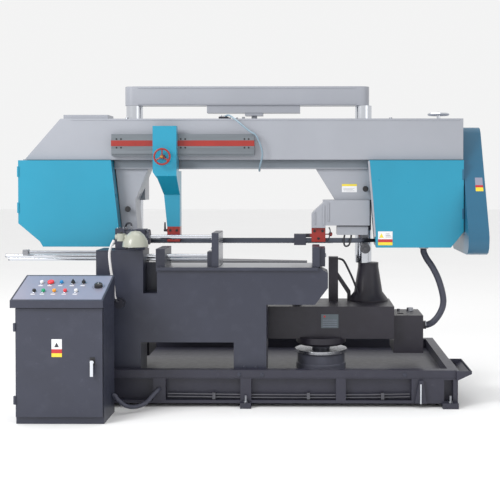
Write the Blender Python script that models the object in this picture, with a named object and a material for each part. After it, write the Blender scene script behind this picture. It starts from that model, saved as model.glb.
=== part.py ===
"""Horizontal double-column band saw with a swivelling bow, a hydraulic vise and a control cabinet.

Metres, +Z up, +X to the operator's right, +Y away from the operator.
Shapes are laid out from the base frame's front face (Y = 0) and moved by SHIFT, which
puts the origin under the middle of the machine's footprint.
"""
import math

import bmesh
import bpy
from mathutils import Vector

for old in list(bpy.data.objects):
    bpy.data.objects.remove(old, do_unlink=True)

# ---------------------------------------------------------------- driving dimensions
SHIFT = Vector((0.41, -0.39, 0.0))
GAP = 0.0003

BLADE_Y = 0.45            # the cutting plane
PIVOT = (0.075, BLADE_Y)  # swivel axis of the bow
WHEEL_R = 0.262
WHEEL_W = 0.045
WHEEL_Z = 1.293
DRIVE_X = 0.72
IDLER_X = -1.62
BLADE_W = 0.034
BLADE_T = 0.0016

BASE_X = (-1.45, 0.935)
BASE_Y = (0.0, 1.25)
BASE_Z = (0.026, 0.236)
FLOOR_TRAY_Z = 0.17

TABLE_Z = 0.882
BED_Y = (0.03, 0.30)
ARM_Z = (0.375, 0.592)
ARM_Y = (0.36, 0.80)
COLUMN_Y = 0.70
COLUMN_L_X = -1.235
COLUMN_R_X = 0.375
COLUMN_R = 0.058
XBEAM_Z = (1.96, 2.092)

BEAM_Y = (0.36, 0.64)
BEAM_Z = (1.575, 1.85)
COVER_Y = (0.32, 0.415)
HOUSE_Y = (0.42, 0.62)

CAB_X = (-1.735, -1.215)
CAB_Y = (-0.44, -0.12)
CAB_Z = 0.69


# ---------------------------------------------------------------- modelling helpers
def to_mesh(bm):
    bmesh.ops.recalc_face_normals(bm, faces=bm.faces)
    me = bpy.data.meshes.new("solid")
    bm.to_mesh(me)
    bm.free()
    return me


def box(x0, x1, y0, y1, z0, z1):
    return prism([(x0, y0), (x1, y0), (x1, y1), (x0, y1)], "Z", z0, z1)


def spot(axis, u, v, t):
    """u, v in the plane across the axis, t along it: X -> (y, z), Y -> (x, z), Z -> (x, y)."""
    return {"X": (t, u, v), "Y": (u, t, v), "Z": (u, v, t)}[axis]


def prism(points, axis, a0, a1):
    bm = bmesh.new()
    lo = [bm.verts.new(spot(axis, u, v, a0)) for u, v in points]
    hi = [bm.verts.new(spot(axis, u, v, a1)) for u, v in points]
    bm.faces.new(lo)
    bm.faces.new(hi[::-1])
    n = len(points)
    for i in range(n):
        j = (i + 1) % n
        bm.faces.new((lo[i], lo[j], hi[j], hi[i]))
    return to_mesh(bm)


def circle(cu, cv, r, seg=24, start=0.0):
    return [(cu + r * math.cos(start + 2 * math.pi * i / seg),
             cv + r * math.sin(start + 2 * math.pi * i / seg)) for i in range(seg)]


def rod(axis, cu, cv, a0, a1, r, seg=24):
    return prism(circle(cu, cv, r, seg), axis, a0, a1)


def turned(profile, axis, cu, cv, seg=24, closed=False):
    """A turned solid; profile is (radius, station). closed joins the last point to the first."""
    bm = bmesh.new()
    rings = []
    for r, t in profile:
        if r < 1e-6:
            rings.append([bm.verts.new(spot(axis, cu, cv, t))])
        else:
            rings.append([bm.verts.new(spot(axis, u, v, t)) for u, v in circle(cu, cv, r, seg)])
    pairs = list(zip(rings, rings[1:])) + ([(rings[-1], rings[0])] if closed else [])
    for a, b in pairs:
        for i in range(seg):
            j = (i + 1) % seg
            if len(a) == 1 and len(b) > 1:
                bm.faces.new((a[0], b[i], b[j]))
            elif len(b) == 1 and len(a) > 1:
                bm.faces.new((a[i], b[0], a[j]))
            elif len(a) > 1:
                bm.faces.new((a[i], b[i], b[j], a[j]))
    return to_mesh(bm)


def sweep(points, r, sides=8):
    """A round tube along points, closed at both ends."""
    bm = bmesh.new()
    pts = [Vector(p) for p in points]
    n = len(pts)
    tan = [(pts[min(i + 1, n - 1)] - pts[max(i - 1, 0)]).normalized() for i in range(n)]
    up = Vector((0, 0, 1)) if abs(tan[0].z) < 0.9 else Vector((0, 1, 0))
    u = tan[0].cross(up).normalized()
    rings = []
    for i in range(n):
        u = (u - tan[i] * u.dot(tan[i])).normalized()
        v = tan[i].cross(u)
        rings.append([bm.verts.new(pts[i] + (u * math.cos(2 * math.pi * k / sides)
                                            + v * math.sin(2 * math.pi * k / sides)) * r)
                      for k in range(sides)])
    for a, b in zip(rings, rings[1:]):
        for k in range(sides):
            m = (k + 1) % sides
            bm.faces.new((a[k], b[k], b[m], a[m]))
    bm.faces.new(rings[0])
    bm.faces.new(rings[-1][::-1])
    return to_mesh(bm)


def smooth_path(ctrl, count):
    """count points on a Catmull-Rom curve through ctrl, evenly spaced along it."""
    c = [Vector(p) for p in ctrl]
    c = [c[0] * 2 - c[1]] + c + [c[-1] * 2 - c[-2]]
    fine = []
    for i in range(1, len(c) - 2):
        for k in range(40):
            t = k / 40
            fine.append(0.5 * ((2 * c[i]) + (c[i + 1] - c[i - 1]) * t
                               + (2 * c[i - 1] - 5 * c[i] + 4 * c[i + 1] - c[i + 2]) * t * t
                               + (3 * c[i] - c[i - 1] - 3 * c[i + 1] + c[i + 2]) * t ** 3))
    fine.append(c[-2])
    run = [0.0]
    for a, b in zip(fine, fine[1:]):
        run.append(run[-1] + (b - a).length)
    out, k = [], 0
    for i in range(count):
        s = run[-1] * i / (count - 1)
        while k < len(run) - 2 and run[k + 1] < s:
            k += 1
        t = (s - run[k]) / max(run[k + 1] - run[k], 1e-9)
        out.append(fine[k].lerp(fine[k + 1], min(max(t, 0), 1)))
    return out


def combine(op, first, others):
    base = bpy.data.objects.new("work", first)
    bpy.context.scene.collection.objects.link(base)
    made = []
    for me in others:
        o = bpy.data.objects.new("tool", me)
        bpy.context.scene.collection.objects.link(o)
        made.append(o)
        mod = base.modifiers.new("cut", "BOOLEAN")
        mod.operation, mod.solver, mod.object = op, "EXACT", o
    dg = bpy.context.evaluated_depsgraph_get()
    me = bpy.data.meshes.new_from_object(base.evaluated_get(dg))
    for o in [base] + made:
        bpy.data.objects.remove(o, do_unlink=True)
    return me


def union(first, *others):
    return combine("UNION", first, others)


def cut(first, *others):
    return combine("DIFFERENCE", first, others)


def material(name, colour, rough, metal):
    m = bpy.data.materials.new(name)
    m.use_nodes = True
    b = m.node_tree.nodes["Principled BSDF"]
    b.inputs["Base Color"].default_value = (*colour, 1)
    b.inputs["Roughness"].default_value = rough
    b.inputs["Metallic"].default_value = metal
    return m


SLATE = ((0.055, 0.06, 0.085), 0.5, 0.0)
DARK = ((0.015, 0.015, 0.02), 0.55, 0.0)
LIGHT = ((0.62, 0.63, 0.68), 0.45, 0.0)
CYAN = ((0.04, 0.42, 0.6), 0.35, 0.0)
TEAL = ((0.03, 0.2, 0.3), 0.4, 0.0)
RED = ((0.55, 0.03, 0.02), 0.4, 0.0)
STEEL = ((0.5, 0.5, 0.52), 0.3, 1.0)
CHROME = ((0.8, 0.8, 0.82), 0.1, 1.0)
RUBBER = ((0.02, 0.02, 0.022), 0.8, 0.0)


def node(name, me, look, origin=(0, 0, 0), smooth=False):
    """One named piece, its origin on its joint's axis."""
    o = Vector(origin)
    for v in me.vertices:
        v.co -= o
    me.name = name
    ob = bpy.data.objects.new(name, me)
    ob.location = o + SHIFT
    bpy.context.scene.collection.objects.link(ob)
    me.materials.clear()
    me.materials.append(material(name + "_finish", *look))
    if smooth:
        me.shade_smooth()
        me.set_sharp_from_angle(angle=math.radians(35))
    return ob


def cord(name, points, r, look, sides=2):
    """A tube: a curve with a round bevel and filled caps."""
    cu = bpy.data.curves.new(name, "CURVE")
    cu.dimensions = "3D"
    sp = cu.splines.new("POLY")
    sp.points.add(len(points) - 1)
    for p, q in zip(sp.points, points):
        p.co = (*q, 1)
    cu.bevel_depth, cu.bevel_resolution, cu.use_fill_caps = r, sides, True
    cu.materials.append(material(name + "_finish", *look))
    ob = bpy.data.objects.new(name, cu)
    ob.location = SHIFT
    bpy.context.scene.collection.objects.link(ob)
    return ob


# ---------------------------------------------------------------- base and tray
pipe_runs = [smooth_path([(-0.905, 0.018, z + 0.006), (-0.3, 0.018, z), (0.3, 0.018, z), (0.632, 0.018, z + 0.006)], 12)
             for z in (0.077, 0.059)]
bx0, bx1 = BASE_X
by0, by1 = BASE_Y
bz0, bz1 = BASE_Z
frame = cut(box(bx0, bx1, by0, by1, bz0, bz1), box(bx0 + 0.06, bx1 - 0.06, 0.06, by1 - 0.06, -0.1, 0.5))
bays = [(-1.38, -0.995), (-0.915, -0.441), (-0.372, 0.164), (0.227, 0.642)]
frame = cut(frame, *[box(a, b, -0.02, 0.045, 0.045, 0.182) for a, b in bays],
            box(0.848, 0.905, -0.02, 0.05, 0.04, 0.175))
feet = [(-0.441, -0.372), (0.835, 0.935), (-1.45, -1.38)]
frame = union(frame, *[box(a, b, -0.04, 0.075, 0.0, 0.035) for a, b in feet],
              *[box(a, b, by1 - 0.075, by1, 0.0, 0.035) for a, b in feet])
frame = union(frame, prism([(0.66, 0.03), (0.735, 0.03), (0.715, 0.175), (0.69, 0.175)], "Y", -0.022, 0.01))
frame = cut(frame, *[sweep([Vector((-0.909, 0.018, q[0].z))] + q + [Vector((0.638, 0.018, q[-1].z))], 0.0075, 8) for q in pipe_runs])
frame = union(frame, box(bx0 + 0.05, bx1 - 0.05, 0.05, by1 - 0.05, 0.1605, FLOOR_TRAY_Z))
side = prism([(bx1 - 0.01, 0.236), (1.02, 0.236), (1.02, 0.218), (bx1 - 0.01, 0.173)], "Y", -0.02, 0.40)
side = cut(side, prism([(bx1 + 0.006, 0.3), (1.014, 0.3), (1.014, 0.222), (bx1 + 0.006, 0.184)], "Y", -0.014, 0.394))
frame = union(frame, side)
node("base_frame", frame, SLATE)

# ---------------------------------------------------------------- bed, table and vise
b0, b1 = BED_Y
bed = prism([(-1.369, 0.1705), (-1.084, 0.1705), (-1.084, 0.40), (-0.488, 0.40), (-0.488, 0.1705), (-0.279, 0.1705),
             (-0.279, 0.642), (0.032, 0.642), (0.115, 0.75), (0.115, 0.845), (0.05, TABLE_Z), (-0.979, TABLE_Z),
             (-0.979, 0.714), (-1.068, 0.714), (-1.068, 0.99), (-1.369, 0.99)], "Y", 0.067, b1)
bed = cut(bed, box(-1.355, -1.10, 0.08, b1 - 0.012, 0.0, 0.88), box(-1.10, -0.295, 0.08, b1 - 0.012, 0.415, 0.70),
          box(-0.475, -0.295, 0.08, b1 - 0.012, 0.0, 0.5), box(-0.97, 0.02, 0.09, b1 + 0.02, 0.66, 0.86))
bed = union(bed, box(-0.979, 0.05, 0.05, 0.41, TABLE_Z - 0.022, TABLE_Z),
            box(-0.99, -0.932, 0.09, 0.38, 0.85, 0.997), box(-1.10, -0.95, 0.22, b1, 0.69, 0.90))
rods = [(0.17, 0.947), (0.23, 0.921)]
bed = cut(bed, *[rod("X", y, z, -1.5, -0.8, 0.0125, 20) for y, z in rods], box(-1.37, -1.33, 0.2, 0.29, 0.25, 0.6))
node("vise_bed", bed, SLATE)

node("fixed_jaw", union(box(0.016, 0.062, 0.08, 0.352, TABLE_Z + GAP, 1.01),
                        box(0.055, 0.098, 0.12, 0.312, TABLE_Z + GAP, 1.0)), SLATE)
jaw_x = (-0.63, -0.587)
cyl_z, cyl_y = 1.068, 0.20
cylinder = union(rod("X", cyl_y, cyl_z, -1.255, -1.045, 0.05, 28), box(-1.262, -1.20, 0.145, 0.255, 0.9903, 1.125),
                 box(-1.13, -1.069, 0.145, 0.255, 0.9903, 1.12))
cylinder = cut(cylinder, rod("X", cyl_y, cyl_z, -1.251, -1.0, 0.0145, 20))
node("vise_cylinder", cylinder, DARK, smooth=True)
node("piston_rod", rod("X", cyl_y, cyl_z, -1.24, jaw_x[0] - GAP, 0.0138, 20), CHROME, (-0.63, cyl_y, cyl_z), True)
jaw = box(jaw_x[0], jaw_x[1], 0.08, 0.385, TABLE_Z + 0.0006, 1.10)
jaw = union(jaw, box(-0.665, -0.62, 0.14, 0.26, TABLE_Z + 0.0006, 0.975))
jaw = cut(jaw, *[rod("X", y, z, -0.7, -0.6, 0.0125, 20) for y, z in rods])
node("moving_jaw", jaw, SLATE, (-0.63, 0.2, 0.9))
for tag, (y, z) in zip(("guide_rod_upper", "guide_rod_lower"), rods):
    node(tag, rod("X", y, z, -1.98, -0.61, 0.012, 20), STEEL, (-0.63, y, z), True)
pipe = union(rod("X", 0.12, 0.974, -1.84, -1.3695, 0.009, 16), box(-1.85, -1.815, 0.1, 0.14, 0.955, 0.99))
node("length_stop_bar", pipe, DARK)

# work lamp on its gooseneck
neck = smooth_path([(-1.211, 0.012, 0.664), (-1.23, -0.015, 0.69), (-1.239, -0.02, 0.778), (-1.255, -0.02, 0.869),
                    (-1.265, -0.02, 0.97), (-1.255, -0.02, 1.021), (-1.235, -0.02, 1.06)], 16)
node("lamp_stand", union(sweep(neck, 0.008, 8), rod("Y", -1.211, 0.655, 0.0, 0.0667, 0.03, 20)), LIGHT, smooth=True)
lamp = turned([(0, 1.055), (0.026, 1.055), (0.026, 1.102), (0, 1.102)], "Z", -1.19, -0.02, 20)
shade = turned([(0, 1.12), (0.03, 1.115), (0.058, 1.09), (0.078, 1.055), (0.082, 1.02), (0.079, 1.02),
                (0.074, 1.054), (0.054, 1.087), (0.028, 1.11), (0, 1.115)], "Z", -1.10, -0.02, 22)
lamp = union(shade, lamp, rod("X", -0.02, 1.08, -1.2265, -1.155, 0.016, 16))
node("lamp_head", lamp, LIGHT, (-1.235, -0.02, 1.08), True)

# ---------------------------------------------------------------- turntable and swing arm
px, py = PIVOT
node("turntable_base", turned([(0, 0.1705), (0.168, 0.1705), (0.168, 0.205), (0.16, 0.211), (0.16, 0.272),
                               (0.176, 0.279), (0.176, 0.3), (0.06, 0.3), (0.06, 0.33), (0, 0.33)], "Z", px, py, 32),
     STEEL, smooth=True)
ax0 = -1.34
arm = prism([(ax0, ARM_Y[0]), (0.564, ARM_Y[0]), (0.564, ARM_Y[1]), (ax0, ARM_Y[1])], "Z", *ARM_Z)
arm = cut(arm, box(ax0 - 0.1, 0.55, ARM_Y[0] + 0.02, ARM_Y[1] - 0.02, ARM_Z[0] + 0.02, ARM_Z[1] - 0.02))
arm = union(arm, turned([(0.0603, 0.3303), (0.146, 0.3303), (0.168, 0.345), (0.168, 0.385), (0.0603, 0.385)], "Z", px, py, 32, closed=True))
arm = union(arm, turned([(0, 0.585), (0.14, 0.585), (0.14, 0.602), (0.10, 0.655), (0.072, 0.83), (0.072, 0.86), (0, 0.86)],
                        "Z", COLUMN_R_X + 0.035, COLUMN_Y, 28),
            turned([(0, 0.585), (0.10, 0.585), (0.10, 0.64), (0.075, 0.66), (0, 0.66)], "Z", COLUMN_L_X, COLUMN_Y, 28),
            box(ax0, ax0 + 0.25, 0.42, 0.72, 0.25, ARM_Z[0] + 0.005))
arm = union(arm, box(0.131, 0.197, 0.66, 0.74, ARM_Z[1] - 0.005, 0.90),
            prism([(0.19, 0.80), (0.19, 0.75), (0.262, 0.64), (0.262, 0.585), (0.29, 0.585), (0.285, 0.66)], "Y", 0.68, 0.72))
node("swing_arm", arm, SLATE, (px, py, 0.375))
pack = cut(box(0.5645, 0.765, 0.42, 0.74, 0.27, 0.524), box(0.575, 0.755, 0.43, 0.73, 0.28, 0.516),
           box(0.60, 0.64, 0.5, 0.54, 0.5, 0.6))
pack = union(pack, box(0.76, 0.785, 0.475, 0.525, 0.425, 0.475))
node("hydraulic_tank", pack, DARK)
for tag, x, z0 in (("column_left", COLUMN_L_X, 0.6605), ("column_right", COLUMN_R_X, 0.8605)):
    node(tag, rod("Z", x, COLUMN_Y, z0, XBEAM_Z[0] - GAP, COLUMN_R, 32), CHROME, (x, COLUMN_Y, z0), True)
xl, xr = COLUMN_L_X, COLUMN_R_X - 0.025
beam_pts = [(xl + 0.065 * math.cos(a), COLUMN_Y + 0.065 * math.sin(a)) for a in
            [math.radians(90 + 15 * i) for i in range(13)]]
beam_pts += [(xr + 0.065 * math.cos(a), COLUMN_Y + 0.065 * math.sin(a)) for a in
             [math.radians(-90 + 15 * i) for i in range(13)]]
xbeam = union(prism(beam_pts, "Z", *XBEAM_Z), box(-0.72, -0.07, 0.645, 0.755, 1.908, 1.965),
              box(-0.455, -0.33, 0.65, 0.75, 1.889, 1.915))
xbeam = union(xbeam, rod("Z", -0.392, COLUMN_Y, 1.62, 1.895, 0.02, 20))
node("crossbeam", xbeam, LIGHT, smooth=True)
rear = union(prism([(-0.97, 0.495), (-0.02, 0.495), (-0.02, 0.60), (-0.6, 0.74), (-0.97, 0.74)], "Z", 0.862, TABLE_Z),
             box(-0.93, -0.87, 0.52, 0.60, ARM_Z[1] + GAP, 0.87), box(-0.12, -0.06, 0.51, 0.59, ARM_Z[1] + GAP, 0.87))
node("rear_table", rear, SLATE)
rod_x = -0.392

# ---------------------------------------------------------------- bow
L_OUT = [(-1.944, 1.571), (-1.325, 1.571), (-1.273, 1.115), (-1.33, 0.995), (-1.78, 0.995), (-1.80, 1.03), (-1.944, 1.151)]
R_OUT = [(0.393, 1.571), (1.02, 1.571), (1.02, 1.095), (0.976, 1.04), (0.935, 0.99), (0.44, 0.99), (0.435, 1.055), (0.416, 1.307)]


def inset(points, d):
    """A convex outline moved inward by d."""
    n = len(points)
    area = sum(points[i][0] * points[(i + 1) % n][1] - points[(i + 1) % n][0] * points[i][1] for i in range(n))
    s = 1 if area > 0 else -1
    lines = []
    for i in range(n):
        (x0, y0), (x1, y1) = points[i], points[(i + 1) % n]
        ln = math.hypot(x1 - x0, y1 - y0)
        nx, ny = -(y1 - y0) / ln * s, (x1 - x0) / ln * s
        lines.append((x0 + nx * d, y0 + ny * d, (x1 - x0) / ln, (y1 - y0) / ln))
    out = []
    for i in range(n):
        ax, ay, adx, ady = lines[i - 1]
        cx, cy, cdx, cdy = lines[i]
        det = adx * cdy - ady * cdx
        t = ((cx - ax) * cdy - (cy - ay) * cdx) / det
        out.append((ax + adx * t, ay + ady * t))
    return out


beam = prism([(-1.671, BEAM_Z[1]), (1.022, BEAM_Z[1]), (1.022, BEAM_Z[0]), (-1.912, BEAM_Z[0])], "Y", *BEAM_Y)
beam = union(beam, box(-1.318, 0.388, 0.40, 0.60, 1.514, 1.58))
for outline in (L_OUT, R_OUT):
    o = inset(outline, 0.004)
    o = [(x, 1.58 if z > 1.5 else z) for x, z in o]
    shell = cut(prism(o, "Y", *HOUSE_Y), prism(inset(o, 0.008), "Y", HOUSE_Y[0] - 0.05, HOUSE_Y[1] - 0.015))
    beam = union(beam, shell)
beam = union(beam,
             prism([(-1.32, 1.58), (-1.05, 1.58), (-1.096, 1.507), (-1.181, 1.305), (-1.167, 1.103), (-1.27, 1.103)], "Y", 0.42, 0.60),
             prism([(0.0, 1.58), (0.04, 1.514), (0.169, 1.305), (0.42, 1.305), (0.42, 1.58)], "Y", 0.42, 0.60))
sleeves = []
for x in (COLUMN_L_X, COLUMN_R_X):
    beam = union(beam, box(x - 0.085, x + 0.085, 0.6201, 0.79, 1.30, 1.78))
beam = cut(beam,
           box(-1.62, 0.98, 0.38, 0.615, 1.60, 1.83),
           box(-1.75, 0.97, 0.425, 0.475, 1.53, 1.61),
           box(-1.60, -1.10, 0.425, 0.475, 0.95, 1.09), box(0.30, 0.60, 0.425, 0.475, 0.95, 1.09),
           *[rod("Z", x, COLUMN_Y, 1.2, 1.9, COLUMN_R + 0.0006, 32) for x in (COLUMN_L_X, COLUMN_R_X)],
           rod("Y", IDLER_X, WHEEL_Z, 0.55, 0.7, 0.0305, 24), rod("Y", DRIVE_X, WHEEL_Z, 0.55, 0.7, 0.0405, 24),
           box(0.70, 0.74, 0.6, 0.7, 1.66, 1.74))
beam = union(beam, box(-1.66, -1.36, 0.40, 0.58, BEAM_Z[1] - 0.005, BEAM_Z[1] + 0.028),
             turned([(0, 0.9705), (0.028, 0.9705), (0.03, 0.985), (0.03, 1.0), (0, 1.0)], "Z", 0.778, 0.52, 20))
node("bow_frame", beam, LIGHT)
tube = cut(union(rod("Z", rod_x, COLUMN_Y, 1.535, 1.82, 0.045, 28), box(rod_x - 0.05, rod_x + 0.05, 0.6403, 0.70, 1.58, 1.78)),
           rod("Z", rod_x, COLUMN_Y, 1.55, 1.9, 0.0206, 20))
node("lift_cylinder", tube, DARK, smooth=True)
node("guide_rail", box(-1.32, -0.371, 0.312, BEAM_Y[0] - GAP, 1.61, 1.745), STEEL)

# blade guides
ga = prism([(0.25, 1.795), (0.3105, 1.795), (0.3105, 1.605), (0.358, 1.605), (0.358, 1.50), (0.49, 1.50), (0.49, 1.125),
            (0.41, 1.125), (0.41, 1.34), (0.25, 1.466)], "X", -1.035, -0.878)
ga = cut(ga, prism([(-1.06, 1.0), (-0.964, 1.0), (-0.964, 1.123), (-0.985, 1.339), (-1.008, 1.45), (-1.06, 1.53)], "Y", 0.2, 0.55))
node("guide_arm_left", ga, CYAN, (-0.957, 0.31, 1.6))
gl = cut(box(-0.964, -0.878, 0.41, 0.49, 1.0235, 1.1247), box(-1.0, -0.8, 0.4485, 0.4515, 1.0, 1.055))
node("guide_block_left", gl, RED, (-0.957, 0.45, 1.1))
wheel = turned([(0.050, 0.196), (0.057, 0.2), (0.057, 0.208), (0.050, 0.212), (0.045, 0.208), (0.045, 0.2)], "Y", -0.966, 1.592, 20, closed=True)
wheel = union(wheel, turned([(0, 0.19), (0.013, 0.193), (0.015, 0.2496), (0, 0.2496)], "Y", -0.966, 1.592, 20),
              *[sweep([(-0.966 + 0.008 * math.cos(a), 0.204, 1.592 + 0.008 * math.sin(a)),
                       (-0.966 + 0.050 * math.cos(a), 0.204, 1.592 + 0.050 * math.sin(a))], 0.005, 8)
                for a in (math.radians(90), math.radians(210), math.radians(330))])
node("clamp_handwheel", wheel, RED, (-0.966, 0.204, 1.592), True)
gr = prism([(0.010, 1.118), (0.010, 1.212), (0.032, 1.235), (0.087, 1.285), (0.087, 1.3045), (0.40, 1.3045), (0.40, 1.134), (0.104, 1.134), (0.104, 1.118)], "Y", 0.38, 0.60)
gr = union(gr, box(0.181, 0.39, 0.40, 0.58, 1.07, 1.14))
gr = union(gr, cut(box(0.355, 0.395, 0.4905, 0.53, 0.955, 1.08), rod("Y", 0.375, 0.975, 0.48, 0.52, 0.0125, 16)))
node("guide_arm_right", gr, LIGHT)
gb = cut(union(box(0.010, 0.104, 0.41, 0.49, 1.022, 1.1177), box(-0.06, 0.02, 0.465, 0.485, 1.05, 1.075), box(-0.108, -0.027, 0.415, 0.485, 1.0, 1.075)),
         box(-0.2, 0.2, 0.4485, 0.4515, 0.99, 1.055))
gb = union(gb, rod("X", 0.45, 1.072, 0.10, 0.13, 0.004, 10), turned([(0, 0.125), (0.012, 0.129), (0.015, 0.139), (0.012, 0.149), (0, 0.153)], "X", 0.45, 1.072, 14))
node("guide_block_right", gb, RED)


def blade_points():
    """Stations round the blade's loop: centre, tangent-plane normal angle and twist (0 on the wheels)."""
    out = []
    low, high = WHEEL_Z - WHEEL_R - 0.001, WHEEL_Z + WHEEL_R + 0.001
    r = WHEEL_R + 0.001
    for i in range(17):
        a = math.radians(90 - 180 * i / 16)
        out.append((DRIVE_X + r * math.cos(a), WHEEL_Z + r * math.sin(a), a, 0.0))
    stops = [(DRIVE_X - 0.05, 0.0), (0.60, 0.03), (0.52, 0.2), (0.44, 0.45), (0.36, 0.7), (0.28, 0.9), (0.2, 1.0), (0.0, 1.0),
             (-1.15, 1.0), (-1.22, 0.93), (-1.29, 0.75), (-1.36, 0.5), (-1.43, 0.25), (-1.50, 0.08), (-1.57, 0.0)]
    for x, tw in stops:
        out.append((x, low, math.radians(-90), tw))
    for i in range(17):
        a = math.radians(270 - 180 * i / 16)
        out.append((IDLER_X + r * math.cos(a), WHEEL_Z + r * math.sin(a), a, 0.0))
    return out


bm = bmesh.new()
rings = []
for x, z, a, tw in blade_points():
    nrm = Vector((math.cos(a), 0, math.sin(a)))
    wide = Vector((0, 1, 0))
    t = tw * math.pi / 2
    w = wide * math.cos(t) + nrm * math.sin(t)
    h = nrm * math.cos(t) - wide * math.sin(t)
    c = Vector((x, BLADE_Y, z))
    rings.append([bm.verts.new(c + w * (BLADE_W / 2 * i) + h * (BLADE_T / 2 * j)) for i, j in ((1, 1), (1, -1), (-1, -1), (-1, 1))])
for k in range(len(rings)):
    a, b = rings[k], rings[(k + 1) % len(rings)]
    # both wide faces are split along the same diagonal, so the twisted band keeps its thickness
    bm.faces.new((a[0], a[1], b[1], b[0]))
    bm.faces.new((a[1], a[2], b[2]))
    bm.faces.new((a[1], b[2], b[1]))
    bm.faces.new((a[2], a[3], b[3], b[2]))
    bm.faces.new((a[3], a[0], b[3]))
    bm.faces.new((a[0], b[0], b[3]))
node("saw_blade", to_mesh(bm), STEEL)

# wheels inside the covers
for tag, x, hub, bore in (("drive_wheel", DRIVE_X, 0.045, 0.74), ("idler_wheel", IDLER_X, 0.04, 0.70)):
    r, y0, y1 = WHEEL_R - 0.0002, BLADE_Y - WHEEL_W / 2, BLADE_Y + WHEEL_W / 2
    w = turned([(0, y0 + 0.005), (hub, y0 + 0.005), (hub, BLADE_Y - 0.006), (r - 0.03, BLADE_Y - 0.006), (r - 0.022, y0), (r - 0.001, y0),
                (r - 0.001, y1), (r - 0.022, y1), (r - 0.03, BLADE_Y + 0.006), (hub, BLADE_Y + 0.006), (hub, 0.52),
                (0.03, 0.52), (0.03, 0.66), (0, 0.66)], "Y", x, WHEEL_Z, 36)
    w = cut(w, *[rod("Y", x + 0.14 * math.cos(a), WHEEL_Z + 0.14 * math.sin(a), 0.4, 0.5, 0.045, 12)
                 for a in [math.radians(72 * i + 90) for i in range(5)]])
    node(tag, w, STEEL, (x, BLADE_Y, WHEEL_Z), True)
WORM_Y, WORM_Z = 0.73, 1.16
MOTOR_Y, MOTOR_Z = 0.76, 1.70
gear = cut(union(box(0.55, 0.90, 0.6205, 0.80, 1.08, 1.42), rod("X", WORM_Y, WORM_Z, 0.88, 0.97, 0.05, 24)),
           rod("Y", DRIVE_X, WHEEL_Z, 0.6, 0.68, 0.0306, 24), rod("X", WORM_Y, WORM_Z, 0.93, 1.0, 0.0153, 20))
node("gearbox", gear, DARK)
motor = union(rod("X", MOTOR_Y, MOTOR_Z, 0.58, 0.94, 0.09, 32), box(0.64, 0.86, 0.6404, 0.74, 1.62, 1.78), rod("X", MOTOR_Y, MOTOR_Z, 0.54, 0.60, 0.08, 24))
motor = cut(motor, rod("X", MOTOR_Y, MOTOR_Z, 0.90, 1.0, 0.0153, 20))
node("drive_motor", motor, SLATE, smooth=True)
PULLEY = [("gearbox_pulley", WORM_Y, WORM_Z, 0.115, 0.95), ("motor_pulley", MOTOR_Y, MOTOR_Z, 0.055, 0.92)]
for tag, y, z, r, x0 in PULLEY:
    p = turned([(0, x0), (0.015, x0), (0.015, 1.07), (r, 1.07), (r, 1.075), (r - 0.012, 1.082), (r - 0.012, 1.088), (r, 1.095), (r, 1.10), (0, 1.10)], "X", y, z, 32)
    node(tag, p, STEEL, (1.085, y, z), True)
# V-belt round both pulleys
dy, dz = MOTOR_Y - WORM_Y, MOTOR_Z - WORM_Z
dist = math.hypot(dy, dz)
base_a = math.atan2(dz, dy)
open_a = math.acos((0.104 - 0.044) / dist)


def belt_outline(extra):
    pts = []
    for i in range(13):
        a = base_a - open_a + (2 * open_a) * i / 12
        pts.append((MOTOR_Y + (0.044 + extra) * math.cos(a), MOTOR_Z + (0.044 + extra) * math.sin(a)))
    for i in range(17):
        a = base_a + open_a + (2 * math.pi - 2 * open_a) * i / 16
        pts.append((WORM_Y + (0.104 + extra) * math.cos(a), WORM_Z + (0.104 + extra) * math.sin(a)))
    return pts


node("drive_belt", cut(prism(belt_outline(0.0085), "X", 1.0828, 1.0872), prism(belt_outline(0.0008), "X", 1.0, 1.2)), RUBBER)
guard_pts = [(0.56, 1.80), (0.52, 1.79), (0.49, 1.76), (0.16, 1.10), (0.15, 1.06), (0.16, 1.0), (0.19, 0.965), (0.24, 0.95),
             (0.80, 0.95), (0.86, 0.98), (0.88, 1.05), (0.86, 1.72), (0.84, 1.77), (0.80, 1.80)]
guard = cut(prism(guard_pts, "X", 1.026, 1.16), prism(inset(guard_pts, 0.004), "X", 1.03, 1.155),
            rod("X", WORM_Y, WORM_Z, 1.0, 1.04, 0.06, 20), rod("X", MOTOR_Y, MOTOR_Z, 1.0, 1.04, 0.045, 20))
node("belt_guard", guard, TEAL)
brush_y = 0.45
node("chip_brush", turned([(0, 0.40), (0.012, 0.40), (0.012, 0.435), (0.034, 0.437), (0.034, 0.463), (0.012, 0.465), (0.012, 0.515), (0, 0.515)],
                          "Y", 0.375, 0.975, 24), DARK, (0.375, brush_y, 0.975), True)
# covers with their doors' depth, hinged on the outer front corner
for tag, outline, hx in (("cover_left", L_OUT, -1.946), ("cover_right", R_OUT, 1.0225)):
    me = cut(prism(outline, "Y", *COVER_Y), prism(inset(outline, 0.004), "Y", COVER_Y[0] + 0.004, COVER_Y[1] + 0.1))
    node(tag, me, CYAN, (hx, COVER_Y[0], 1.28))
knob = lambda x, z, y0, y1: turned([(0, y0), (0.018, y0 + 0.002), (0.02, y0 + 0.008), (0.016, y0 + 0.018), (0.007, y0 + 0.02), (0.007, y1), (0, y1)], "Y", x, z, 16)
node("latch_left", knob(-1.225, 1.244, 0.375, 0.4196), DARK, (-1.225, 0.40, 1.244), True)
node("latch_right", knob(0.372, 1.38, 0.375, 0.4196), DARK, (0.372, 0.40, 1.38), True)
tw = turned([(0.062, 1.884), (0.07, 1.878), (0.076, 1.886), (0.07, 1.894)], "Z", 0.875, 0.5, 28, closed=True)
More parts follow.
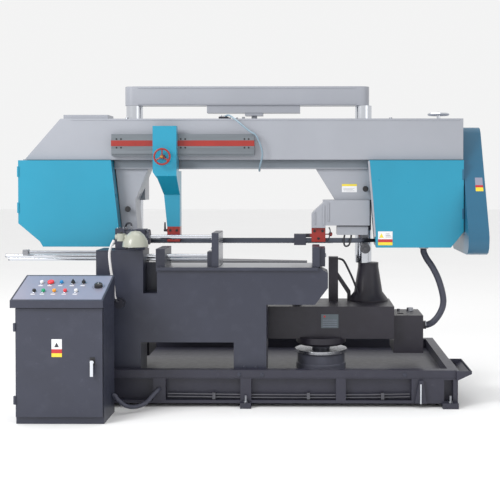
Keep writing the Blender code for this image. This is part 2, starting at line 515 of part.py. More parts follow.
tw = union(tw, turned([(0, BEAM_Z[1] + GAP), (0.012, BEAM_Z[1] + GAP), (0.014, 1.90), (0, 1.905)], "Z", 0.875, 0.5, 16),
           *[sweep([(0.875 + 0.006 * math.cos(a), 0.5 + 0.006 * math.sin(a), 1.886), (0.875 + 0.068 * math.cos(a), 0.5 + 0.068 * math.sin(a), 1.886)], 0.005, 8)
             for a in (math.radians(30), math.radians(150), math.radians(270))])
node("top_handwheel", tw, CHROME, (0.875, 0.5, 1.886), True)
hose = smooth_path([(-0.575, 0.42, 1.8655), (-0.545, 0.365, 1.873), (-0.50, 0.328, 1.845), (-0.404, 0.30, 1.765), (-0.355, 0.30, 1.73), (-0.317, 0.32, 1.62), (-0.335, 0.345, 1.53), (-0.34, 0.38, 1.50)], 28)
cord("coolant_hose", hose, 0.006, RUBBER)

# ---------------------------------------------------------------- electric conduits
bow_run = smooth_path([(0.778, 0.52, 0.9675), (0.779, 0.52, 0.945), (0.80, 0.515, 0.90), (0.84, 0.51, 0.84), (0.88, 0.505, 0.755), (0.908, 0.5, 0.65), (0.908, 0.5, 0.58), (0.88, 0.5, 0.515), (0.84, 0.5, 0.468), (0.805, 0.5, 0.451), (0.7900, 0.5, 0.45)], 26)
cord("bow_conduit", bow_run, 0.022, RUBBER)
cab_run = smooth_path([(-1.2112, -0.20, 0.12), (-1.195, -0.20, 0.118), (-1.18, -0.196, 0.095), (-1.14, -0.18, 0.055), (-1.09, -0.14, 0.034), (-1.03, -0.09, 0.045), (-0.985, -0.05, 0.09), (-0.960, -0.022, 0.112), (-0.957, -0.005, 0.115)], 24)
cord("cabinet_conduit", cab_run, 0.013, RUBBER)
pipes = union(sweep(pipe_runs[0], 0.005, 8), sweep(pipe_runs[1], 0.005, 8),
              *[box(x, x + 0.02, 0.008, 0.03, 0.048, 0.09) for x in (-0.62, -0.02, 0.45)])
node("base_pipes", pipes, STEEL, smooth=True)

# ---------------------------------------------------------------- control cabinet
cx0, cx1 = CAB_X
cy0, cy1 = CAB_Y
body = cut(box(cx0, cx1, cy0 + 0.022, cy1, 0.0, CAB_Z), box(cx0 + 0.003, cx1 - 0.003, cy0 - 0.1, cy1 - 0.003, 0.04, CAB_Z - 0.003))
node("cabinet_body", body, SLATE)
door = union(box(cx0 + 0.004, cx1 - 0.004, cy0, cy0 + 0.0215, 0.045, CAB_Z - 0.004), box(cx0 - 0.006, cx0 + 0.006, cy0 - 0.008, cy0 + 0.006, 0.55, 0.60),
             box(cx0 - 0.006, cx0 + 0.006, cy0 - 0.008, cy0 + 0.006, 0.12, 0.17))
door = cut(door, box(cx0 + 0.02, cx1 - 0.02, cy0 + 0.004, cy0 + 0.1, 0.06, CAB_Z - 0.02))
node("cabinet_door", door, SLATE, (cx0, cy0, 0.35))
handle = union(rod("Y", -1.277, 0.372, cy0 - 0.022, cy0 - GAP, 0.012, 16), box(-1.286, -1.268, cy0 - 0.03, cy0 - 0.018, 0.290, 0.384))
node("door_handle", handle, CHROME, (-1.277, cy0, 0.372))
sx0, sx1 = cx0 - 0.022, cx1 + 0.004
slope = (0.85 - 0.735) / (-0.12 + 0.46)
con = prism([(-0.46, 0.6905), (-0.46, 0.735), (-0.12, 0.85), (-0.12, 0.6905)], "X", sx0, sx1)
con = cut(con, prism([(-0.45, 0.60), (-0.45, 0.725), (-0.128, 0.838), (-0.128, 0.60)], "X", sx0 + 0.005, sx1 - 0.005))
ln = math.hypot(1, slope)
n_y, n_z = -slope / ln, 1 / ln


def on_panel(x, t):
    """Centre of a control at x, t of the way up the sloping panel."""
    y = -0.46 + 0.34 * t
    return Vector((x, y, 0.735 + slope * (y + 0.46)))


def along_normal(me_profile, p, seg=16):
    """A turned piece standing on the sloping panel; stations run along its normal."""
    me = turned(me_profile, "Z", 0, 0, seg)
    ang = math.atan2(-n_y, n_z)
    for v in me.vertices:
        x, y, z = v.co
        v.co = Vector((p.x + x, p.y + y * math.cos(ang) - z * math.sin(ang), p.z + y * math.sin(ang) + z * math.cos(ang)))
    return me


FRONT, BACK = 0.33, 0.66
buttons = [("button_white", -1.63, BACK, 0.011), ("emergency_stop", -1.575, BACK, 0.02), ("button_blue", -1.51, BACK, 0.011),
           ("selector_mode", -1.44, BACK, 0.012), ("selector_pump", -1.375, BACK, 0.012), ("button_black", -1.645, FRONT, 0.011),
           ("button_green", -1.59, FRONT, 0.011), ("button_orange", -1.525, FRONT, 0.011), ("button_red", -1.46, FRONT, 0.011),
           ("button_start", -1.395, FRONT, 0.011)]
holes = [along_normal([(0, -0.03), (0.0065, -0.03), (0.0065, 0.02), (0, 0.02)], on_panel(x, t), 12) for _, x, t, _ in buttons]
holes.append(along_normal([(0, -0.03), (0.0065, -0.03), (0.0065, 0.02), (0, 0.02)], on_panel(-1.275, 0.52), 12))
con = cut(con, *holes)
node("console", con, LIGHT)
colour = {"white": (0.8, 0.8, 0.8), "stop": (0.6, 0.02, 0.02), "blue": (0.02, 0.05, 0.4), "green": (0.0, 0.35, 0.08), "orange": (0.7, 0.2, 0.01),
          "red": (0.6, 0.02, 0.02), "start": (0.8, 0.8, 0.8)}
for tag, x, t, r in buttons:
    lift = 0.0045
    prof = [(0, -0.014), (0.006, -0.014), (0.006, lift), (r, lift), (r, lift + 0.009), (r * 0.85, lift + 0.013), (0, lift + 0.014)]
    node(tag, along_normal(prof, on_panel(x, t)), (colour.get(tag.split("_")[1], (0.02, 0.02, 0.02)), 0.35, 0.0), on_panel(x, t), True)
node("speed_knob", along_normal([(0, -0.014), (0.006, -0.014), (0.006, 0.0006), (0.026, 0.0006), (0.024, 0.02), (0.018, 0.024), (0, 0.025)], on_panel(-1.275, 0.52), 20),
     ((0.02, 0.02, 0.02), 0.4, 0.0), on_panel(-1.275, 0.52), True)
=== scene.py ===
"""Looks for the double-column band saw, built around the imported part."""
import math

import bmesh
import bpy
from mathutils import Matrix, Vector


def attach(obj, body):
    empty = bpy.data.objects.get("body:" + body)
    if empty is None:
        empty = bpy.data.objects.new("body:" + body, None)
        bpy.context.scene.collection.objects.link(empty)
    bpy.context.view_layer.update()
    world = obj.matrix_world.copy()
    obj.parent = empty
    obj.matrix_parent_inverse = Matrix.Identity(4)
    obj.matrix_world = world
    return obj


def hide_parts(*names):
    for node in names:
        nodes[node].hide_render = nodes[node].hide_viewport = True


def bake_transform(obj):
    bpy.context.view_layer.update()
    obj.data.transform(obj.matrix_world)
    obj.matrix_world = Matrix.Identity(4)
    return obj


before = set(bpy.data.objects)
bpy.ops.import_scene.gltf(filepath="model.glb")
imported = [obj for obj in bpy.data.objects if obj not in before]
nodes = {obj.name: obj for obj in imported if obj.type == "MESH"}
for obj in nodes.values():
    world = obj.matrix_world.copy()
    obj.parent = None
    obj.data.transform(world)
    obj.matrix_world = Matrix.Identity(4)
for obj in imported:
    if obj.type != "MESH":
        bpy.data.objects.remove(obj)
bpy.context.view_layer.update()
SX, SY = 0.41, -0.39          # from the drawing's frame to the part's frame


def W(x, y, z):
    return Vector((x + SX, y + SY, z))


def lin(r, g, b):
    return tuple((c / 255 / 12.92) if c / 255 <= 0.04045 else ((c / 255 + 0.055) / 1.055) ** 2.4 for c in (r, g, b))


# ---------------------------------------------------------------- materials
def surface(name, colour, rough, metal=0.0, var=0.08, scale=5.0, stretch=(1, 1, 1), bump=0.03, fine=220.0,
            rough_var=0.08, coat=0.0, edge=0.0025, grime=None, top=None, wear=None, split=None):
    """Base colour varied by cloudy noise, roughness by a finer one, and a fine bump over rounded edges.
    grime: (colour, amount). top: (z, colour, roughness) machined metal above that height where the face looks up.
    wear: (colour, amount) bare patches. split: (axis, station, colour) the other colour below that station."""
    m = bpy.data.materials.new(name)
    m.use_nodes = True
    nt = m.node_tree
    n, l = nt.nodes, nt.links
    b = n["Principled BSDF"]
    b.inputs["Metallic"].default_value = metal
    b.inputs["Coat Weight"].default_value = coat
    b.inputs["Coat Roughness"].default_value = 0.12
    tc = n.new("ShaderNodeTexCoord")
    mp = n.new("ShaderNodeMapping")
    mp.inputs["Scale"].default_value = stretch
    l.new(tc.outputs["Object"], mp.inputs["Vector"])

    def noise(s, detail=3.0):
        t = n.new("ShaderNodeTexNoise")
        t.inputs["Scale"].default_value = s
        t.inputs["Detail"].default_value = detail
        l.new(mp.outputs["Vector"], t.inputs["Vector"])
        return t.outputs["Fac"]

    def ramp(fac, a, c, p0=0.3, p1=0.7):
        r = n.new("ShaderNodeValToRGB")
        r.color_ramp.elements[0].position, r.color_ramp.elements[1].position = p0, p1
        r.color_ramp.elements[0].color, r.color_ramp.elements[1].color = (*a, 1), (*c, 1)
        l.new(fac, r.inputs["Fac"])
        return r.outputs["Color"]

    def mix(fac, a, c):
        x = n.new("ShaderNodeMix")
        x.data_type = "RGBA"
        l.new(fac, x.inputs["Factor"])
        l.new(a, x.inputs["A"])
        if isinstance(c, tuple):
            x.inputs["B"].default_value = (*c, 1)
        else:
            l.new(c, x.inputs["B"])
        return x.outputs["Result"]

    lo, hi = tuple(c * (1 - var) for c in colour), tuple(min(c * (1 + var), 1) for c in colour)
    col = ramp(noise(scale), lo, hi)
    if grime:
        col = mix(ramp(noise(scale * 2.6, 6.0), (0, 0, 0), (grime[1],) * 3, 0.52, 0.78), col, grime[0])
    if wear:
        col = mix(ramp(noise(38, 8.0), (0, 0, 0), (wear[1],) * 3, 0.66, 0.74), col, wear[0])
    if split:
        ss, less = n.new("ShaderNodeSeparateXYZ"), n.new("ShaderNodeMath")
        l.new(tc.outputs["Object"], ss.inputs["Vector"])
        less.operation = "LESS_THAN"
        less.inputs[1].default_value = split[1]
        l.new(ss.outputs[split[0]], less.inputs[0])
        col = mix(less.outputs["Value"], col, split[2])
    rr = n.new("ShaderNodeMapRange")
    rr.inputs["To Min"].default_value = max(rough - rough_var, 0.03)
    rr.inputs["To Max"].default_value = min(rough + rough_var, 1)
    l.new(noise(scale * 5, 5.0), rr.inputs["Value"])
    rough_out = rr.outputs["Result"]
    if top:
        geo = n.new("ShaderNodeNewGeometry")
        sep, sn = n.new("ShaderNodeSeparateXYZ"), n.new("ShaderNodeSeparateXYZ")
        l.new(tc.outputs["Object"], sep.inputs["Vector"])
        l.new(geo.outputs["Normal"], sn.inputs["Vector"])
        hi_z, up = n.new("ShaderNodeMath"), n.new("ShaderNodeMath")
        hi_z.operation, up.operation = "COMPARE", "GREATER_THAN"
        hi_z.inputs[1].default_value, hi_z.inputs[2].default_value = top[0], top[3]
        up.inputs[1].default_value = top[4]
        l.new(sep.outputs["Z"], hi_z.inputs[0])
        l.new(sn.outputs["Z"], up.inputs[0])
        both = n.new("ShaderNodeMath")
        both.operation = "MULTIPLY"
        l.new(hi_z.outputs["Value"], both.inputs[0])
        l.new(up.outputs["Value"], both.inputs[1])
        col = mix(both.outputs["Value"], col, top[1])
        l.new(both.outputs["Value"], b.inputs["Metallic"])
        mr = n.new("ShaderNodeMapRange")
        mr.inputs["To Min"].default_value = rough
        mr.inputs["To Max"].default_value = top[2]
        l.new(both.outputs["Value"], mr.inputs["Value"])
        rough_out = mr.outputs["Result"]
    l.new(col, b.inputs["Base Color"])
    l.new(rough_out, b.inputs["Roughness"])
    bp = n.new("ShaderNodeBump")
    bp.inputs["Strength"].default_value = min(bump * 10, 1)
    bp.inputs["Distance"].default_value = 0.0006
    l.new(noise(fine, 2.0), bp.inputs["Height"])
    if edge:
        bv = n.new("ShaderNodeBevel")
        bv.samples = 6
        bv.inputs["Radius"].default_value = edge
        l.new(bv.outputs["Normal"], bp.inputs["Normal"])
    l.new(bp.outputs["Normal"], b.inputs["Normal"])
    return m


DUST = lin(120, 112, 100)
STEEL_C = lin(150, 152, 158)
slate = surface("slate_paint", lin(46, 49, 64), 0.42, var=0.07, bump=0.03, coat=0.1, grime=(lin(68, 70, 84), 0.3), wear=(lin(88, 90, 104), 0.2))
slate_bed = surface("slate_paint_bed", lin(46, 49, 64), 0.42, var=0.07, bump=0.03, coat=0.1, grime=(lin(68, 70, 84), 0.3),
                    top=(0.882, STEEL_C, 0.34, 0.002, 0.8))
slate_tray = surface("slate_paint_tray", lin(42, 42, 56), 0.46, var=0.1, bump=0.035, coat=0.08, grime=(lin(58, 58, 70), 0.35), wear=(lin(84, 84, 96), 0.25))
dark = surface("dark_paint", lin(34, 31, 42), 0.46, var=0.1, bump=0.03, coat=0.08, grime=(lin(52, 50, 62), 0.3))
light = surface("light_grey_paint", lin(154, 157, 165), 0.36, var=0.035, scale=2.5, bump=0.02, coat=0.12, grime=(lin(148, 151, 160), 0.25))
cyan = surface("turquoise_paint", lin(26, 138, 168), 0.3, var=0.05, scale=2.0, bump=0.022, coat=0.2, rough_var=0.06)
teal = surface("dark_teal_paint", lin(30, 92, 122), 0.34, var=0.08, scale=2.5, bump=0.022, coat=0.2, rough_var=0.06)
red = surface("red_paint", lin(146, 38, 32), 0.34, var=0.1, scale=9, bump=0.025, coat=0.12, wear=(lin(90, 36, 34), 0.4))
red_block = surface("red_paint_guide", lin(150, 38, 30), 0.34, var=0.1, scale=9, bump=0.025, coat=0.12, split=("X", 0.41 - 0.0005, lin(48, 50, 64)))
steel = surface("machined_steel", STEEL_C, 0.3, metal=1.0, var=0.1, scale=3, stretch=(0.6, 14, 14), bump=0.03, fine=60, rough_var=0.1)
rail_steel = surface("ground_rail_steel", lin(122, 128, 134), 0.36, metal=0.7, var=0.14, scale=3, stretch=(0.5, 14, 14), bump=0.03, fine=60, rough_var=0.1)
blade_steel = surface("blade_steel", lin(84, 88, 98), 0.32, metal=1.0, var=0.16, scale=4, stretch=(0.5, 18, 18), bump=0.02, fine=80, edge=0)
chrome = surface("hard_chrome", lin(205, 208, 214), 0.14, metal=1.0, var=0.04, scale=5, bump=0.0005, fine=30, rough_var=0.04, edge=0)
iron = surface("cast_iron", lin(98, 98, 104), 0.5, metal=0.8, var=0.16, scale=14, bump=0.07, fine=160, rough_var=0.14)
turn_iron = surface("turntable_iron", lin(84, 86, 98), 0.48, metal=0.35, var=0.16, scale=14, bump=0.05, fine=160,
                    top=(0.2905, lin(190, 192, 198), 0.25, 0.0102, -0.5))
rubber = surface("black_rubber", lin(48, 48, 54), 0.62, var=0.12, scale=20, bump=0.03, fine=120, edge=0)
panel = surface("panel_enamel", lin(146, 147, 166), 0.33, metal=0.25, var=0.03, scale=3, bump=0.012, fine=300, coat=0.1)
shade_mat = surface("lamp_enamel", lin(160, 162, 150), 0.32, var=0.05, scale=9, bump=0.015, coat=0.15, edge=0)
# the lamp stand is near-black below z 0.69: the real dark clamp and base, and painted shade on the lowest part of the
# white gooseneck
neck_mat = surface("lamp_neck_white", lin(214, 212, 212), 0.34, var=0.05, scale=16, bump=0.02, edge=0, split=("Z", 0.69, lin(40, 40, 50)))
hose_mat = surface("hose_blue_grey", lin(128, 150, 164), 0.35, var=0.08, scale=18, bump=0.02, edge=0)
brass = surface("brass", lin(196, 158, 84), 0.3, metal=1.0, var=0.12, scale=30, bump=0.02, edge=0.0005)
bristle = surface("brush_wire", lin(92, 92, 96), 0.6, metal=0.6, var=0.3, scale=200, bump=0.1, fine=500, edge=0)


def plastic(name, rgb, rough=0.28):
    return surface(name, lin(*rgb), rough, var=0.04, scale=30, bump=0.006, fine=500, rough_var=0.05, coat=0.1, edge=0.0006)


p_white, p_black = plastic("plastic_white", (228, 228, 228)), plastic("plastic_black", (26, 26, 30), 0.36)
p_blue, p_green = plastic("plastic_blue", (30, 128, 190)), plastic("plastic_green", (20, 158, 108))
p_orange, p_red = plastic("plastic_orange", (238, 158, 50)), plastic("plastic_red", (226, 60, 66))
ink = plastic("label_ink", (52, 52, 58), 0.5)
lab_white, lab_yellow, lab_red = plastic("label_white", (226, 226, 228), 0.45), plastic("label_yellow", (226, 204, 60), 0.45), plastic("label_red", (186, 44, 46), 0.45)
lab_plate = plastic("label_plate", (92, 104, 112), 0.4)
bulb_mat = plastic("bulb_glass", (240, 238, 225), 0.15)

# ---------------------------------------------------------------- the CAD nodes' finishes
LOOK = {"base_frame": slate_tray, "base_pipes": iron, "vise_bed": slate_bed, "fixed_jaw": slate, "vise_cylinder": slate, "length_stop_bar": steel,
        "lamp_stand": neck_mat, "turntable_base": turn_iron, "cabinet_body": slate, "console": slate, "cabinet_conduit": rubber, "lamp_head": shade_mat,
        "moving_jaw": slate, "piston_rod": chrome, "guide_rod_upper": chrome, "guide_rod_lower": chrome, "cabinet_door": slate, "door_handle": chrome,
        "swing_arm": dark, "column_left": chrome, "column_right": chrome, "crossbeam": light, "hydraulic_tank": dark, "rear_table": slate,
        "bow_frame": light, "lift_cylinder": dark, "guide_rail": rail_steel, "guide_arm_right": light, "guide_block_right": red_block, "saw_blade": blade_steel,
        "gearbox": dark, "drive_motor": slate, "belt_guard": teal, "drive_belt": rubber, "coolant_hose": hose_mat, "bow_conduit": rubber,
        "guide_arm_left": cyan, "guide_block_left": red, "clamp_handwheel": red, "top_handwheel": chrome, "drive_wheel": iron, "idler_wheel": iron,
        "gearbox_pulley": iron, "motor_pulley": iron, "chip_brush": bristle, "cover_left": cyan, "cover_right": cyan, "latch_left": p_black,
        "latch_right": p_black, "speed_knob": p_black, "button_white": p_white, "emergency_stop": p_red, "button_blue": p_blue,
        "selector_mode": p_black, "selector_pump": p_black, "button_black": p_black, "button_green": p_green, "button_orange": p_orange,
        "button_red": p_red, "button_start": p_white}
for name, ob in nodes.items():
    me = ob.data
    for att in ("custom_normal",):
        if att in me.attributes:
            me.attributes.remove(me.attributes[att])
    if not me.materials:
        me.materials.append(LOOK[name])
    for i in range(len(me.materials)):
        me.materials[i] = LOOK[name]
    for p in me.polygons:
        p.use_smooth = True
    weld = ob.modifiers.new("join", "WELD")
    weld.merge_threshold = 0.00002
    split = ob.modifiers.new("crisp", "EDGE_SPLIT")
    split.split_angle = math.radians(33)


# ---------------------------------------------------------------- small pieces
def finish_mesh(name, bm, body, mat, smooth=False, bevel=0.0):
    bmesh.ops.recalc_face_normals(bm, faces=bm.faces)
    me = bpy.data.meshes.new(name)
    bm.to_mesh(me)
    bm.free()
    me.materials.append(mat)
    ob = bpy.data.objects.new(name, me)
    bpy.context.scene.collection.objects.link(ob)
    if bevel:
        mod = ob.modifiers.new("edge", "BEVEL")
        mod.width, mod.segments, mod.limit_method = bevel, 2, "ANGLE"
    if smooth:
        me.shade_smooth()
        me.set_sharp_from_angle(angle=math.radians(40))
    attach(ob, body)
    return ob


def add_prism(bm, lo, hi):
    a, b = [bm.verts.new(p) for p in lo], [bm.verts.new(p) for p in hi]
    bm.faces.new(a)
    bm.faces.new(b[::-1])
    for i in range(len(a)):
        j = (i + 1) % len(a)
        bm.faces.new((a[i], b[i], b[j], a[j]))


def add_box(bm, x0, x1, y0, y1, z0, z1):
    add_prism(bm, [W(x0, y0, z0), W(x1, y0, z0), W(x1, y1, z0), W(x0, y1, z0)], [W(x0, y0, z1), W(x1, y0, z1), W(x1, y1, z1), W(x0, y1, z1)])


def add_round(bm, centre, direction, r0, r1, length, seg=16):
    """A cone or a cylinder from centre along direction."""
    d = Vector(direction).normalized()
    u = d.cross(Vector((0.3, 0.8, 0.52))).normalized()
    v = d.cross(u)
    ring = lambda c, r: [c + (u * math.cos(2 * math.pi * i / seg) + v * math.sin(2 * math.pi * i / seg)) * r for i in range(seg)]
    add_prism(bm, ring(Vector(centre), r0), ring(Vector(centre) + d * length, r1))


def boxes(name, body, mat, *spans, bevel=0.0008):
    bm = bmesh.new()
    for s in spans:
        add_box(bm, *s)
    return finish_mesh(name, bm, body, mat, bevel=bevel)


def rounds(name, body, mat, *items, seg=16):
    """items: (x, y, z, direction, radius, radius at the end, length)."""
    bm = bmesh.new()
    for x, y, z, d, r0, r1, ln in items:
        add_round(bm, W(x, y, z), d, r0, r1, ln, seg)
    return finish_mesh(name, bm, body, mat, smooth=True)


def bolts(name, body, mat, places, direction, r=0.009, h=0.007):
    """Hexagon heads on washers."""
    bm = bmesh.new()
    d = Vector(direction)
    for x, y, z in places:
        add_round(bm, W(x, y, z), d, r * 1.45, r * 1.45, 0.0016, 18)
        add_round(bm, W(x, y, z) + d * 0.0014, d, r, r * 0.94, h, 6)
    return finish_mesh(name, bm, body, mat, bevel=0.0006)


def curve_points(ctrl, count):
    c = [Vector(p) for p in ctrl]
    c = [c[0] * 2 - c[1]] + c + [c[-1] * 2 - c[-2]]
    fine = []
    for i in range(1, len(c) - 2):
        for k in range(40):
            t = k / 40
            fine.append(0.5 * ((2 * c[i]) + (c[i + 1] - c[i - 1]) * t + (2 * c[i - 1] - 5 * c[i] + 4 * c[i + 1] - c[i + 2]) * t * t
                               + (3 * c[i] - c[i - 1] - 3 * c[i + 1] + c[i + 2]) * t ** 3))
    fine.append(c[-2])
    run = [0.0]
    for a, b in zip(fine, fine[1:]):
        run.append(run[-1] + (b - a).length)
    out, k = [], 0
    for i in range(count):
        s = run[-1] * i / (count - 1)
        while k < len(run) - 2 and run[k + 1] < s:
            k += 1
        t = (s - run[k]) / max(run[k + 1] - run[k], 1e-9)
        out.append(fine[k].lerp(fine[k + 1], min(max(t, 0), 1)))
    return out


def tube(name, ctrl, r, mat, body=None, count=60, sides=16):
    pts = [W(*p) for p in curve_points(ctrl, count)]
    bm = bmesh.new()
    n = len(pts)
    tan = [(pts[min(i + 1, n - 1)] - pts[max(i - 1, 0)]).normalized() for i in range(n)]
    up = Vector((0, 0, 1)) if abs(tan[0].z) < 0.9 else Vector((0, 1, 0))
    u = tan[0].cross(up).normalized()
    rings = []
    for i in range(n):
        u = (u - tan[i] * u.dot(tan[i])).normalized()
        v = tan[i].cross(u)
        rings.append([bm.verts.new(pts[i] + (u * math.cos(2 * math.pi * k / sides) + v * math.sin(2 * math.pi * k / sides)) * r) for k in range(sides)])
    for a, b in zip(rings, rings[1:]):
        for k in range(sides):
            bm.faces.new((a[k], b[k], b[(k + 1) % sides], a[(k + 1) % sides]))
    bm.faces.new(rings[0])
    bm.faces.new(rings[-1][::-1])
    bmesh.ops.recalc_face_normals(bm, faces=bm.faces)
    me = bpy.data.meshes.new(name)
    bm.to_mesh(me)
    bm.free()
    me.materials.append(mat)
    me.shade_smooth()
    ob = bpy.data.objects.new(name, me)
    bpy.context.scene.collection.objects.link(ob)
    if body:
        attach(ob, body)
    return ob, pts


# conduits, at their whole length
conduit_mat = surface("conduit_sleeve", lin(62, 64, 78), 0.5, var=0.1, scale=16, bump=0.04, fine=130, edge=0)
BOW_RUN = [(0.778, 0.52, 0.9675), (0.779, 0.52, 0.945), (0.80, 0.515, 0.90), (0.84, 0.51, 0.84), (0.88, 0.505, 0.755), (0.908, 0.5, 0.65),
           (0.908, 0.5, 0.58), (0.88, 0.5, 0.515), (0.84, 0.5, 0.468), (0.805, 0.5, 0.451), (0.7900, 0.5, 0.45)]
CAB_RUN = [(-1.2112, -0.20, 0.12), (-1.195, -0.20, 0.118), (-1.18, -0.196, 0.095), (-1.14, -0.18, 0.055), (-1.09, -0.14, 0.034),
           (-1.03, -0.09, 0.045), (-0.985, -0.05, 0.09), (-0.960, -0.022, 0.112), (-0.957, -0.005, 0.115)]
bow_cord, pts = tube("bow_conduit_sleeve", BOW_RUN, 0.022, conduit_mat, count=70)
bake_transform(bow_cord)
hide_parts("bow_conduit")
cab_cord, pts = tube("cabinet_conduit_sleeve", CAB_RUN, 0.013, conduit_mat, body="root", count=60)
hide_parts("cabinet_conduit")

# guide rail: painted band and counterbored screws
RY = 0.312
boxes("rail_red_band", "bow", red, (-1.322, -1.0, RY - 0.0012, RY + 0.001, 1.664, 1.702), (-1.0, -0.369, RY - 0.0012, RY + 0.001, 1.664, 1.702), bevel=0)
rounds("rail_screws", "bow", p_black, *[(x, RY - 0.0008, z, (0, 1, 0), 0.0062, 0.0062, 0.002)
                                       for x in (-1.285, -1.255, -0.858, -0.828, -0.435, -0.407) for z in (1.654, 1.711)], seg=14)
boxes("rail_shadow_step", "bow", rail_steel, (-1.32, -0.371, 0.318, 0.36, 1.600, 1.6105), bevel=0.0005)
rounds("clamp_wheel_boss", "clamp_wheel", brass, (-0.966, 0.186, 1.592, (0, 1, 0), 0.0075, 0.010, 0.006), seg=20)
rounds("clamp_wheel_grip", "clamp_wheel", red, (-0.966 + 0.043, 0.206, 1.592 - 0.025, (0, -1, 0), 0.008, 0.0095, 0.030), seg=16)
bolts("guide_block_bolts_left", "guide", p_black, [(-0.944, 0.41, 1.10), (-0.900, 0.41, 1.10), (-0.922, 0.41, 1.045)], (0, -1, 0), 0.0062, 0.005)
rounds("guide_block_valve", "guide", dark, (-0.9645, 0.45, 1.098, (-1, 0, 0), 0.010, 0.008, 0.028), (-0.985, 0.45, 1.098, (0, 0, 1), 0.007, 0.005, 0.055),
       (-0.8775, 0.45, 1.05, (1, 0, 0), 0.009, 0.007, 0.014))
bolts("guide_block_bolts_right", "bow", p_black, [(0.03, 0.41, 1.095), (0.084, 0.41, 1.095), (0.057, 0.41, 1.045)], (0, -1, 0), 0.0062, 0.005)
boxes("guide_arm_right_pads", "bow", light, (0.086, 0.098, 0.374, 0.3805, 1.14, 1.27), (0.12, 0.128, 0.374, 0.3805, 1.16, 1.29), (0.03, 0.037, 0.374, 0.3805, 1.14, 1.225))
boxes("guide_arm_right_seam", "bow", dark, (0.181, 0.392, 0.3965, 0.4005, 1.127, 1.134), bevel=0)
tube("guide_lube_hose_right", [(0.128, 0.40, 1.12), (0.135, 0.385, 1.10), (0.13, 0.38, 1.06), (0.118, 0.40, 1.03), (0.105, 0.415, 1.035)], 0.004, rubber, "bow", 24, 10)
tube("brush_drive_hose", [(0.235, 0.43, 1.075), (0.228, 0.42, 1.03), (0.236, 0.418, 0.995), (0.262, 0.42, 1.0), (0.275, 0.425, 1.04), (0.28, 0.44, 1.075)], 0.006, rubber, "bow", 30, 10)

# blade teeth on the straight cutting run, one strip through both guides
bm = bmesh.new()
x, pitch, zb = -1.13, 0.0085, 1.0140
while x < 0.15:
    set_y = (-0.0004, 0.0, 0.0004)[int(round((x + 1.13) / pitch)) % 3]
    add_prism(bm, [W(x, 0.4492 + set_y, zb), W(x + pitch * 0.92, 0.4492 + set_y, zb), W(x + pitch * 0.85, 0.4492 + set_y, zb - 0.0045)],
              [W(x, 0.4508 + set_y, zb), W(x + pitch * 0.92, 0.4508 + set_y, zb), W(x + pitch * 0.85, 0.4508 + set_y, zb - 0.0045)])
    x += pitch
finish_mesh("blade_teeth", bm, "bow", blade_steel)

# bow: trims, fittings, label, welds
# the lower chord under the beam gets a darker grey skin over its light grey paint: painted shade of the beam's overhang
strip_painted_shade = surface("strip_grey_painted_shade", lin(108, 116, 124), 0.4, var=0.05, scale=3, bump=0.02, coat=0.1)
boxes("beam_strip_painted_shade", "bow", strip_painted_shade, (-1.317, 0.387, 0.3988, 0.4002, 1.5145, 1.5745), bevel=0.0)
boxes("beam_seam_front", "bow", light, (-1.318, 0.388, 0.3975, 0.4005, 1.516, 1.522), (-1.6, 1.0, 0.3575, 0.361, 1.838, 1.846), bevel=0.0006)
boxes("beam_manifold", "bow", dark, (-0.615, -0.55, 0.40, 0.455, 1.850, 1.866), bevel=0.002)
rounds("beam_fittings", "bow", steel, (-0.575, 0.42, 1.865, (0, 0, 1), 0.009, 0.008, 0.010), (-0.60, 0.42, 1.865, (0, 0, 1), 0.009, 0.008, 0.010), (-0.50, 0.44, 1.85, (0, 0, 1), 0.014, 0.012, 0.012), (-0.45, 0.44, 1.85, (0, 0, 1), 0.010, 0.010, 0.016),
       (-0.34, 0.40, 1.515, (0, 0, -1), 0.008, 0.006, 0.018), (-0.55, 0.43, 1.858, (1, 0, 0), 0.006, 0.006, 0.016))
rounds("beam_eye_bolts", "bow", steel, (-1.25, 0.5, 1.85, (0, 0, 1), 0.014, 0.010, 0.016), (0.55, 0.5, 1.85, (0, 0, 1), 0.014, 0.010, 0.016))
boxes("beam_label", "bow", lab_white, (0.215, 0.316, 0.4185, 0.4202, 1.357, 1.398), bevel=0)
boxes("beam_label_band", "bow", lab_yellow, (0.215, 0.316, 0.4180, 0.4190, 1.398, 1.412), bevel=0)
boxes("beam_label_lines", "bow", ink, *[(0.224, 0.300 - 0.012 * (i % 2), 0.4180, 0.4188, 1.365 + 0.009 * i, 1.3665 + 0.009 * i) for i in range(3)], bevel=0)
bolts("sleeve_bolts_left", "bow", steel, [(-1.235 + dx, 0.7, z) for dx in (-0.0855,) for z in (1.36, 1.54, 1.72)], (-1, 0, 0), 0.008, 0.006)
bolts("sleeve_bolts_right", "bow", steel, [(0.4605, 0.7, z) for z in (1.36, 1.54, 1.72)], (1, 0, 0), 0.008, 0.006)
rounds("bow_gland", "bow", steel, (0.778, 0.52, 0.9712, (0, 0, 1), 0.033, 0.033, 0.010), seg=6)
bolts("beam_end_bolts", "bow", steel, [(1.022, y, z) for y in (0.41, 0.59) for z in (1.63, 1.80)], (1, 0, 0), 0.008, 0.004)

# covers: edge trims, hinges, generic stickers
boxes("left_cover_hinges", "left_cover", cyan, (-1.950, -1.938, 0.3145, 0.3215, 1.22, 1.29), (-1.950, -1.938, 0.3145, 0.3215, 1.46, 1.53), bevel=0.001)
boxes("right_cover_hinges", "right_cover", teal, (1.010, 1.0222, 0.3182, 0.3215, 1.18, 1.25), (1.010, 1.0222, 0.3182, 0.3215, 1.44, 1.51), bevel=0.001)


def strip(name, body, mat, pts, width, y0, y1):
    """A flat strip in the XZ plane along pts, width to the left of its direction."""
    bm = bmesh.new()
    for (x0, z0), (x1, z1) in zip(pts, pts[1:]):
        d = Vector((x1 - x0, z1 - z0)).normalized()
        nx, nz = -d.y * width, d.x * width
        q = [(x0, z0), (x1, z1), (x1 + nx, z1 + nz), (x0 + nx, z0 + nz)]
        add_prism(bm, [W(a, y0, b) for a, b in q], [W(a, y1, b) for a, b in q])
    return finish_mesh(name, bm, body, mat)


